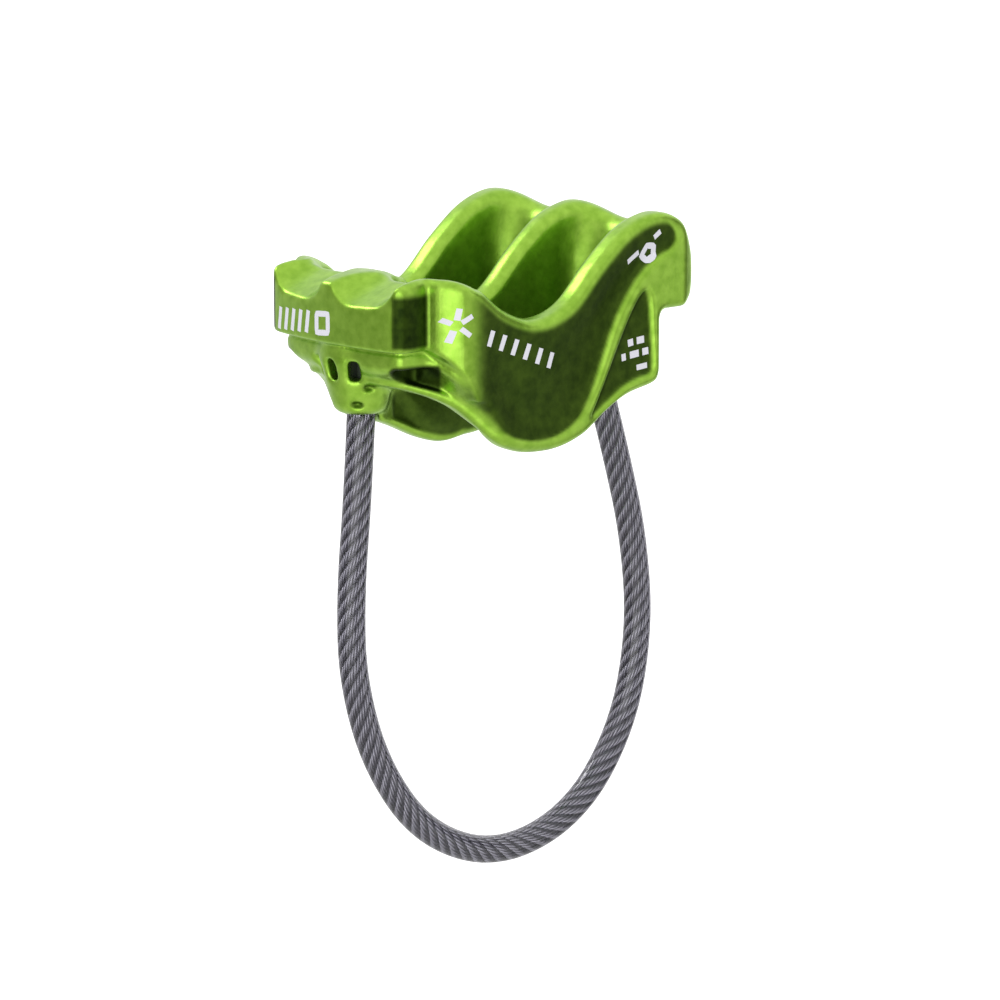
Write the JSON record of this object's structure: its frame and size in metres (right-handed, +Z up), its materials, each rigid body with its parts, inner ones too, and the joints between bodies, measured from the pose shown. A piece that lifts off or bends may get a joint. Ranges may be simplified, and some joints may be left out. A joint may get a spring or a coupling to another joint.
{
  "type": "tube-style belay device",
  "caption": "Tube-style belay and rappel device: forged body with open rope slots and rounded fins, and a steel-wire keeper loop below.",
  "frame": {"origin": "in the centre wall of the body, midway between the two rope slots, level with the middle of the slots: where the device hangs on the rope", "axes": "+X from the nose (low, grooved end) to the horn (high, finned end); +Y across the two slots; +Z up, away from the keeper loop"},
  "size_m": [0.0612, 0.0366, 0.095],
  "materials": {
    "anodised_body": "lime green anodised forging, satin and slightly grained",
    "wire_rope_steel": "bright stranded steel wire",
    "clear_jacket": "clear glossy PVC, slightly violet",
    "ferrule_metal": "plain crimped sleeve, darkened"
  },
  "bodies": {
    "forged_body": {"body": "anodised_body", "front_ferrule": "ferrule_metal", "rear_ferrule": "ferrule_metal", "front_rope_end": "wire_rope_steel", "rear_rope_end": "wire_rope_steel"},
    "keeper_loop": {"wire_rope": "wire_rope_steel", "cable_jacket": "clear_jacket"}
  },
  "joints": [
    {"name": "loop_flex", "type": "hinge", "parent": "forged_body", "child": "keeper_loop", "pos_m": [-0.02, 0, -0.006], "axis": [0.963, 0, 0.2694], "range_deg": [-25, 25], "stiffness_Nm_per_rad": 0.9}
  ]
}
